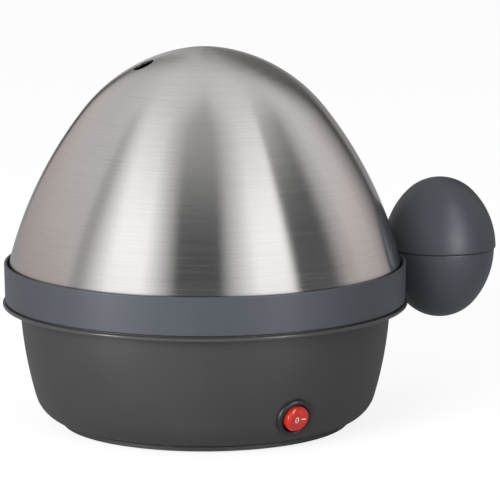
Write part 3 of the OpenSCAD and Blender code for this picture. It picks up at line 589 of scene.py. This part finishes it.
class COOKER_OT_dome(bpy.types.Operator):
    """Make the brushed steel dome with its steam vent"""
    bl_idname = "cooker.dome"
    bl_label = "Steel Dome"

    def execute(self, context):
        """The dome is a net of rings that spread from the vent's edge to the foot.

        On the dome unrolled to a flat disc, with distances from the apex kept, the rings' middles
        move evenly from the vent's middle to the apex while their radii grow from the vent's to the
        disc's.
        """
        s, turn = context.scene.cooker_dome, context.scene.cooker_handle.turn
        sheet, steps, rings = s.sheet, 240, 110
        hem_r = high("retaining_ring").x - 4.6 * MM
        bend, hem_edge = 1.2 * MM, 0.2 * MM
        outer, inner = dome_outline(), dome_outline(-sheet)
        distance = along(outer)
        vent_at = np.interp(s.vent_reach, outer[:, 0], distance)
        vent_middle = vent_at * np.array([-cos(turn), -sin(turn)])
        a = np.linspace(0, 2 * pi, steps, endpoint=False)
        spread = np.linspace(0, 1, rings)[:, None]
        grow = (1 - spread) * s.vent_d / 2 + spread * distance[-1]
        flat_x = (1 - spread) * vent_middle[0] + grow * np.cos(a)
        flat_y = (1 - spread) * vent_middle[1] + grow * np.sin(a)
        reach, way = np.hypot(flat_x, flat_y), np.arctan2(flat_y, flat_x)

        def sheet_rows(outline):
            """The rings' points on one side of the sheet."""
            r, z = (np.interp(reach, distance, outline[:, k]) for k in (0, 1))
            return np.stack([r * np.cos(way), r * np.sin(way), z], axis=-1)

        foot_z, inside, over = outer[-1, 1], DOME_FOOT_R - sheet, SHELF_Z + sheet
        skirt = rounded([(DOME_FOOT_R, foot_z, 0), (DOME_FOOT_R, SHELF_Z, bend),
                         (hem_r, SHELF_Z, hem_edge), (hem_r, over, hem_edge),
                         (inside, over, bend - sheet), (inside, foot_z, 0)], 4)
        rows = np.concatenate([sheet_rows(outer), turned(skirt[1:], steps),
                               sheet_rows(inner)[::-1]])
        points, faces = net(rows, looped=True)
        faces = [f[:, ::-1] for f in faces]
        piece = new_piece("steel_dome", points, faces, "lid")
        dress(piece, "dome_steel")
        piece.data.materials.append(finish("plated_steel"))
        vent_edge = np.zeros(len(piece.data.polygons), np.int32)
        vent_edge[(len(rows) - 1) * steps:] = 1
        piece.data.polygons.foreach_set("material_index", vent_edge)
        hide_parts("dome_shell")
        return {"FINISHED"}


def egg_outline(radius, height, cap):
    """A quarter of an oval from its side to its end: a side arc that runs into a rounder cap."""
    steps = 40
    side = (radius ** 2 + (height - cap) ** 2 - cap ** 2) / (2 * (radius - cap))
    end = atan2(height - cap, side - radius)
    return np.concatenate([arc((radius - side, 0), side, 0, end, steps),
                           arc((0, height - cap), cap, end, pi / 2, steps)[1:]])


def egg_walls(h, radius):
    """The outer and the inner outline of half an egg, each a wall's thickness from the other."""
    return [egg_outline(radius - inwards, h.half_height - inwards, h.cap * h.radius - inwards)
            for inwards in (0, h.wall)]


def seam_edge(h, radius):
    """The edge of half an egg at the seam, from its inner wall over a soft corner to its side."""
    soft, middle = 0.35 * MM, 0.1 * MM
    return np.array([(radius - h.wall, 0), (radius - soft, 0), (radius - middle, middle),
                     (radius, soft)])


class COOKER_OT_lid_ring(bpy.types.Operator):
    """Make the lid's plastic ring with the lower half of the egg-shaped handle"""
    bl_idname = "cooker.lid_ring"
    bl_label = "Lid Ring"

    def execute(self, context):
        """The ring is turned about the Z axis, and the half egg about its own axis.

        Where the half egg would enter the ring, its points move out to just under the ring's face.
        """
        s, h = context.scene.cooker_lid, context.scene.cooker_handle
        top = SHELF_Z + s.seat
        bottom = top - s.height
        foot_r, lip_in, wall_in = RIM_R - s.draft, RIM_R - s.lip, RIM_R - s.draft - s.wall
        shelf_r, under = high("retaining_ring").x - 5.8 * MM, SHELF_Z - 1.6 * MM
        foot_edge, shelf_edge = 0.35 * MM, 0.3 * MM
        ring = rounded([(foot_r, bottom, foot_edge), (RIM_R, top, 0.55 * MM),
                        (lip_in, top, 0.45 * MM), (lip_in, SHELF_Z, 0.2 * MM),
                        (shelf_r, SHELF_Z, shelf_edge), (shelf_r, under, shelf_edge),
                        (wall_in, under, 0.6 * MM), (wall_in, bottom, foot_edge)], 6)
        ring_net = net(turned(ring, 288), looped=True)
        radius, reach = h.radius - h.step, RIM_R + h.stand
        recess_r, screw_r, recess_top, floor = 3.8 * MM, 1.8 * MM, -h.half_height + 10 * MM, 2 * MM
        tube_r = recess_r + h.wall
        outer, inner = egg_walls(h, radius)
        outer, inner = outer[::-1] * (1, -1), inner * (1, -1)
        mouth = float(np.interp(recess_r, outer[:, 0], outer[:, 1]))
        mouth_edge = [(recess_r, mouth + 0.4 * MM), (recess_r + 0.12 * MM, mouth + 0.12 * MM)]
        outer, inner = outer[outer[:, 0] > recess_r + 0.5 * MM], inner[inner[:, 0] > tube_r]
        cup = np.concatenate([
            mouth_edge, outer[:-1], seam_edge(h, radius)[::-1] * (1, -1), inner[1:],
            [(tube_r, recess_top + floor), (screw_r, recess_top + floor), (screw_r, recess_top),
             (recess_r, recess_top)]])
        cup[:, 1] += top
        rows = turned(cup, 144, (reach * cos(h.turn), reach * sin(h.turn)))
        span = np.linalg.norm(rows[..., :2], axis=-1, keepdims=True)
        inside = RIM_R - 0.9 * MM
        rows[..., :2] *= np.maximum(span, inside) / span
        points, faces = joined(ring_net, net(rows, looped=True))
        piece = new_piece("lid_ring_moulding", points, faces, "lid")
        weighted(piece)
        dress(piece, "ring_plastic")
        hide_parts("lid_ring")
        return {"FINISHED"}


class COOKER_OT_handle_cap(bpy.types.Operator):
    """Make the upper half of the egg-shaped handle"""
    bl_idname = "cooker.handle_cap"
    bl_label = "Handle Cap"

    def execute(self, context):
        """The cap is turned about the egg's axis from the screw's bore round its rim to its apex.

        Where it would meet the dome, its points move out to a small gap from the dome, and the
        inner wall's to that gap and the wall. Half the sum of the old distance, the new one and the
        root of their squared difference and a squared width eases one into the other.
        """
        h = context.scene.cooker_handle
        seam = SHELF_Z + context.scene.cooker_lid.seat + h.gap
        reach = RIM_R + h.stand
        boss_r, bore_r, bore_top = 4.2 * MM, 1.5 * MM, 18 * MM
        gap, ease, near_reach, near_fade = 0.4 * MM, 1.2 * MM, 8 * MM, 6 * MM
        outer, inner = egg_walls(h, h.radius)
        inner = inner[inner[:, 0] > boss_r][::-1]
        inside = np.concatenate([[(0, bore_top), (bore_r, bore_top), (bore_r, 0), (boss_r, 0)],
                                 inner[:-1]])
        cap = np.concatenate([inside, seam_edge(h, h.radius), outer[1:]])
        cap[-1, 0] = 0
        cap[:, 1] += seam
        rows = turned(cap, 160, (reach * cos(h.turn), reach * sin(h.turn)))
        span = np.linalg.norm(rows[..., :2], axis=-1)
        clear = dome_radius(rows[..., 2], gap)
        clear[:len(inside)] += h.wall
        eased = (span + clear + np.hypot(span - clear, ease)) / 2
        near = np.clip((clear + near_reach - span) / near_fade, 0, 1)
        rows[..., :2] *= ((span + near * (eased - span)) / span)[..., None]
        points, faces = net(rows)
        piece = new_piece("egg_handle_cap", points, faces, "lid")
        weighted(piece)
        dress(piece, "ring_plastic")
        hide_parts("handle_cap")
        return {"FINISHED"}


def switch_frame():
    """The rocker's pivot, the directions across and along its valley, and the one outwards."""
    hinge = next(j for j in frame["joints"] if j["name"] == "rocker_pivot")
    right, up = np.array([1.0, 0, 0]), -np.array(hinge["axis"])
    return np.array(hinge["pos_m"]), right, up, np.cross(right, up)


def rocker_face(s, x, y):
    """Height of the rocker's face over its pivot: a valley along y, with an edge that rounds off.

    The valley's two sides meet in a hyperbola. The edge falls along a quarter of an ellipse, from a
    circle inside the rim to the rim.
    """
    crease = 0.25 * MM
    valley = s.slope * (np.hypot(x, crease) - crease)
    t = np.clip((np.hypot(x, y) - (s.rocker_d / 2 - s.edge)) / s.edge, 0, 1)
    return s.face + valley - s.drop * (1 - np.sqrt(1 - t ** 2))


def on_rocker(s, x, y, height):
    """Points on the rocker as it is tipped at rest."""
    pivot, right, up, out = switch_frame()
    across = cos(s.tilt) * right - sin(s.tilt) * out
    normal = sin(s.tilt) * right + cos(s.tilt) * out
    return pivot + x[..., None] * across + y[..., None] * up + height[..., None] * normal


class COOKER_OT_switch(bpy.types.Operator):
    """Make the switch's bezel and its rocker"""
    bl_idname = "cooker.switch"
    bl_label = "Switch"

    def execute(self, context):
        """The bezel and its barrel are turned about the line out of the wall.

        The rocker is a net of rings from its face's middle over the rounded edge and down its side.
        """
        s = context.scene.cooker_switch
        pivot, right, up, out = switch_frame()
        steps = 96
        r, well, top = s.bezel_d / 2, s.rocker_d / 2 + s.gap, s.bezel_h
        barrel, seat, depth, end = r - 0.4 * MM, -0.6 * MM, -8 * MM, -15 * MM
        profile = rounded([(0, depth, 0), (well, depth, 0.5 * MM),
                           (well, top - 0.25 * MM, 0.45 * MM), (r - 0.5 * MM, top, 1.0 * MM),
                           (r, seat, 0.4 * MM), (barrel, seat, 0), (barrel, end, 0.5 * MM),
                           (0, end, 0)], 6)
        start = np.argmin(np.hypot(profile[:, 0], profile[:, 1] - depth))
        profile = np.roll(profile, -start, axis=0)
        profile[[0, -1], 0] = 0
        # Turned about Z, its X, Y and Z become the directions to the right, up and out of the wall.
        rows = pivot + s.pivot * out + turned(profile, steps) @ np.array([right, up, out])
        points, faces = net(rows[::-1])
        bezel = new_piece("switch_bezel", points, faces, "base")
        weighted(bezel)
        dress(bezel, "black_plastic")
        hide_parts("switch_body")

        r = s.rocker_d / 2
        flat_r, rings = r - s.edge, 10
        swing = np.linspace(0, pi / 2, rings)[1:]
        reach = np.concatenate([np.linspace(0, flat_r, rings), flat_r + s.edge * np.sin(swing)])
        a = np.linspace(0, 2 * pi, steps, endpoint=False)
        x, y = reach[:, None] * np.cos(a), reach[:, None] * np.sin(a)
        face = on_rocker(s, x, y, rocker_face(s, x, y))
        side, foot, tip = -1.7 * MM, -2 * MM, -4 * MM
        under = turned(np.array([(r, side), (r - 0.3 * MM, foot), (0.5 * r, tip), (0, tip)]), steps)
        under = on_rocker(s, under[..., 0], under[..., 1], under[..., 2])
        points, faces = net(np.concatenate([face, under])[::-1])
        rocker = new_piece("rocker_lens", points, faces, "rocker")
        dress(rocker, "red_lens")
        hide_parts("switch_rocker")
        return {"FINISHED"}


class COOKER_OT_switch_marks(bpy.types.Operator):
    """Print the off and on marks on the switch's rocker"""
    bl_idname = "cooker.switch_marks"
    bl_label = "Switch Marks"

    def execute(self, context):
        """Each mark is a closed path taken in steps over a low ridge that starts under the face.

        The oval's path is an ellipse with a share of the stroke added or taken off. The bar's is a
        flattened ellipse, with the cosine and the sine raised to a small power, and its ridge spans
        it from its middle.
        """
        s = context.scene.cooker_switch
        a = np.linspace(0, 2 * pi, 64, endpoint=False)
        ring = np.column_stack([np.cos(a), np.sin(a)])
        squareness = 0.4
        bar = np.sign(ring) * np.abs(ring) ** squareness
        proud, sunk = 0.04 * MM, -0.04 * MM
        oval_half, bar_half = np.array([0.8 * MM, 1.2 * MM]), np.array([1.15 * MM, 0.3 * MM])
        oval_ridge = (0.5, sunk), (0.45, proud), (-0.45, proud), (-0.5, sunk)
        bar_ridge = (0, sunk), (1, sunk), (0.9, proud), (0, proud)
        oval_paths = [(ring * (oval_half + share * s.stroke), h) for share, h in oval_ridge]
        bar_paths = [(bar * bar_half * share, h) for share, h in bar_ridge]
        nets = []
        for paths, middle, looped in ((oval_paths, s.off_at, True), (bar_paths, s.on_at, False)):
            flat = np.array([path for path, _ in paths])
            height = np.array([height for _, height in paths])[:, None]
            x, y = flat[..., 0] + middle, flat[..., 1]
            nets.append(net(on_rocker(s, x, y, rocker_face(s, x, y) + height), looped=looped))
        points, faces = joined(*nets)
        piece = new_piece("rocker_marks", points, faces, "rocker")
        piece.data.materials.append(finish("mark_print"))
        return {"FINISHED"}


class COOKER_OT_finishes(bpy.types.Operator):
    """Give every node of the construction its finish"""
    bl_idname = "cooker.finishes"
    bl_label = "Finishes"

    def execute(self, context):
        """The record says which finish each node has."""
        for part in frame["record"]["subparts"]:
            node = frame["nodes"][part["node"]]
            node.data.materials.clear()
            node.data.materials.append(finish(part["material_slot"]))
        return {"FINISHED"}


# ---- the stage

# The studio round the object as reflections show it, in rows of (direction, width of the edge
# there, level after it, warmth after it). Directions run from the camera's own, in degrees, to the
# camera's right.
STUDIO = [
    (-179, 6, 0.74, 0), (-171, 2, 0.12, 0), (-163, 5, 0.61, 1), (-87, 2, 0.40, 0),
    (-79, 20, 1.34, 0), (-38, 22, 0.05, 0), (9, 9, 0.60, 0), (18, 16, 1.32, 0), (54, 5, 0.085, 0),
    (83, 12, 0.53, 1), (98, 8, 0.70, 1), (124, 14, 0.42, 0.6), (138, 14, 0.11, 0),
    (154, 3, 0.40, 0.6),
]
# How much of the wall behind the object is left above its foot, in the same form.
BEHIND = [(-176, 8, 1.0, 0), (145, 9, 0.38, 0), (170, 9, 0.72, 0)]
# The ceiling over it, in the same form.
CEILING = [(-60, 45, 0.45, 0), (10, 40, 0.76, 0), (90, 60, 0.74, 0)]
WALL_TINT = (1.0, 0.885, 0.86)
# The even light that falls on matt surfaces, and the white that the camera sees.
AIR, WHITE = (0.33, 0.33, 0.34, 1), (1, 1, 1, 1)
# The floor's grey for the light, and its grey and its glow for the camera.
FLOOR_GREY, SEEN_GREY, FLOOR_GLOW = (0.86, 0.86, 0.86, 1), (0.4, 0.4, 0.4, 1), 0.83
# The lamps: (name, turn from the camera in degrees, height, distance, size, watts, sheen or not).
LAMPS = [
    ("key_lamp", -30, 0.4, 1.3, 0.7, 11.5, False), ("fill_lamp", 30, 0.4, 1.4, 0.6, 3, False),
    ("left_sheen", -52, 0.17, 0.7, 0.2, 3.8, True), ("right_sheen", 42, 0.17, 0.7, 0.2, 2.0, True),
    ("high_sheen", 48, 0.8, 0.8, 0.3, 2, True),
]
# The height at which the lamps aim, and how much taller than wide a sheen lamp is.
LAMP_AIM, SHEEN_TALL = 0.08, 1.6


def looking(place, back):
    """The placement of a camera or a lamp that looks against a direction."""
    return Matrix.Translation(place) @ back.to_track_quat("Z", "Y").to_matrix().to_4x4()


def panorama(n, where, rows):
    """A colour for each direction of a world's tree, from rows in the studio's form."""
    ramp = n.feed(n.add("ValToRGB"), i0=where)
    elements = ramp.color_ramp.elements
    while len(elements) > 1:
        elements.remove(elements[-1])
    elements[0].position = 0
    for k, (start, edge, level, warm) in enumerate(rows):
        for at, (v, w) in ((start, rows[k - 1][2:]), (start + edge, (level, warm))):
            stop = elements.new((at + 180) / 360)
            stop.color = (*(v * (1 - w + w * t) for t in WALL_TINT), 1)
    elements[0].color = elements[1].color
    return ramp.outputs[0]


class COOKER_OT_stage(bpy.types.Operator):
    """Make the floor, the light and the camera"""
    bl_idname = "cooker.stage"
    bl_label = "Stage"

    def camera(self, s):
        """A camera that looks at its aim from the azimuth and the elevation, at the distance."""
        az, el = s.azimuth, s.elevation
        aim = Vector((s.aim_right * cos(az), s.aim_right * sin(az), s.aim_up))
        back = Vector((sin(az) * cos(el), -cos(az) * cos(el), sin(el)))
        data = bpy.data.cameras.new("camera")
        data.angle, data.clip_end = s.view_angle, 20
        camera = bpy.data.objects.new("camera", data)
        camera.matrix_world = looking(aim + s.distance * back, back)
        bpy.context.scene.collection.objects.link(camera)
        bpy.context.scene.camera = camera

    def world(self, s):
        """White for the camera, even light on matt surfaces, and soft boxes in the reflections.

        Higher up, the walls grow paler, the ones behind the object dim, and the ceiling takes over.
        """
        world = bpy.data.worlds.new("studio")
        world.use_nodes = True
        bpy.context.scene.world = world
        n = Nodes(world.node_tree)
        n.tree.nodes.clear()
        x, y, z = n.feed(n.add("SeparateXYZ"), i0=n.add("TexCoord").outputs["Generated"]).outputs
        facing = s.azimuth - pi / 2
        turn = n.math("SUBTRACT", n.math("ARCTAN2", y, x), facing)
        share = n.math("FRACT", n.math("ADD", n.math("DIVIDE", turn, 2 * pi), 1.5))
        off = n.math("SUBTRACT", share, 0.5)
        # Overhead the directions draw together towards the camera's own, but for the one behind.
        climb = n.math("POWER", n.math("MAXIMUM", z, 0.0), 6.0)
        shrink = n.math("DIVIDE", 1.0, n.math("ADD", climb, 1.0))
        behind = n.math("POWER", n.math("ABSOLUTE", n.math("MULTIPLY", off, 2.0)), 4.0)
        stay = n.math("MULTIPLY", n.math("SUBTRACT", 1.0, shrink), behind)
        drawn = n.math("MULTIPLY", off, n.math("ADD", shrink, stay))
        walls = panorama(n, n.math("ADD", drawn, 0.5), STUDIO)
        paler = n.feed(n.add("HueSaturation"), Saturation=n.mapped(z, 0.15, 0.5, 1.0, 0.2),
                       Color=walls).outputs[0]
        above = n.mapped(z, 0.04, 0.24, 0.0, 1.0, interpolation_type="SMOOTHSTEP")
        dimmed = n.mix(above, paler, panorama(n, share, BEHIND), blend_type="MULTIPLY")
        rise = n.mapped(z, 0.56, 0.94, 0.0, 1.0, interpolation_type="SMOOTHSTEP")
        studio = n.mix(rise, dimmed, panorama(n, share, CEILING))
        dusk = n.mapped(z, -0.3, 0.3, 0.4, 1.0)
        lit = n.feed(n.add("VectorMath", operation="SCALE"), i0=studio, Scale=dusk).outputs[0]
        path = n.add("LightPath")
        glossy = n.mix(path.outputs["Is Glossy Ray"], AIR, lit)
        shown = n.mix(path.outputs["Is Camera Ray"], glossy, WHITE)
        background = n.feed(n.add("Background"), i0=shown)
        n.feed(n.add("OutputWorld"), i0=background.outputs[0])

    def lamp(self, s, name, turn, height, away, size, watts, sheen):
        """A large soft area lamp at a direction from the camera's own, aimed at the object.

        A sheen lamp is a tall box that is seen only as a highlight on the plastic pieces.
        """
        a = s.azimuth + radians(turn)
        place = Vector((sin(a) * away, -cos(a) * away, height))
        data = bpy.data.lights.new(name, "AREA")
        data.shape, data.size, data.energy = "ELLIPSE", size, watts
        data.size_y = SHEEN_TALL * size if sheen else size
        lamp = bpy.data.objects.new(name, data)
        lamp.matrix_world = looking(place, place - Vector((0, 0, LAMP_AIM)))
        lamp.visible_glossy, lamp.visible_diffuse = sheen, not sheen
        if sheen:
            plastics = bpy.data.collections.new("plastics")
            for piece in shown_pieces():
                if piece.data.materials[0] in (finish(slot) for slot in SHEEN_SLOTS):
                    plastics.objects.link(piece)
            lamp.light_linking.receiver_collection = plastics
        bpy.context.scene.collection.objects.link(lamp)

    def floor(self):
        """A pale disc on which the object stands, made white for the camera but for the shadow."""
        under, middle_r, rim_r = -0.05 * MM, 0.4, 3.0
        points, faces = net(turned(np.array([(0.0, under), (middle_r, under), (rim_r, under)]), 96))
        mesh = bpy.data.meshes.new("floor")
        mesh.from_pydata(points.tolist(), [], [f.tolist() for group in faces for f in group])
        floor = bpy.data.objects.new("floor", mesh)
        bpy.context.scene.collection.objects.link(floor)
        n = Finish("pale_floor")
        seen = n.add("LightPath").outputs["Is Camera Ray"]
        mesh.materials.append(n.surface(
            Base_Color=n.mix(seen, FLOOR_GREY, SEEN_GREY), Roughness=0.9, Specular_IOR_Level=0.0,
            Emission_Color=WHITE, Emission_Strength=n.math("MULTIPLY", seen, FLOOR_GLOW)))
        floor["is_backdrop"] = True

    def execute(self, context):
        """The camera and the world come first, then the lamps, and the floor last."""
        s = context.scene.cooker_stage
        context.scene.view_settings.view_transform = "Standard"
        self.camera(s)
        self.world(s)
        for row in LAMPS:
            self.lamp(s, *row)
        self.floor()
        return {"FINISHED"}


class COOKER_PT_panel(bpy.types.Panel):
    """Lists the operators and the settings"""
    bl_idname = "COOKER_PT_panel"
    bl_label = "Egg Cooker"
    bl_space_type = "VIEW_3D"
    bl_region_type = "UI"
    bl_category = "Egg Cooker"

    def draw(self, context):
        """One button for each operator and one box for each group of settings."""
        for operator in OPERATORS:
            self.layout.operator(operator.bl_idname)
        for name in GROUPS:
            box = self.layout.box()
            group = getattr(context.scene, name)
            for key in group.__annotations__:
                box.prop(group, key)


OPERATORS = [COOKER_OT_finishes, COOKER_OT_dome, COOKER_OT_lid_ring, COOKER_OT_handle_cap,
             COOKER_OT_switch, COOKER_OT_switch_marks, COOKER_OT_stage]
CLASSES = [*GROUPS.values(), *OPERATORS, COOKER_PT_panel]


def register():
    """Adds the classes, and each group of settings to the scene."""
    for cls in CLASSES:
        bpy.utils.register_class(cls)
    for name, group in GROUPS.items():
        setattr(bpy.types.Scene, name, PointerProperty(type=group))


def unregister():
    """Takes out what register added."""
    for name in GROUPS:
        delattr(bpy.types.Scene, name)
    for cls in reversed(CLASSES):
        bpy.utils.unregister_class(cls)


def main():
    """Makes every piece."""
    register()
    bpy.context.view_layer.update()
    for operator in OPERATORS:
        group, name = operator.bl_idname.split(".")
        getattr(getattr(bpy.ops, group), name)()


if __name__ == "__main__":
    main()
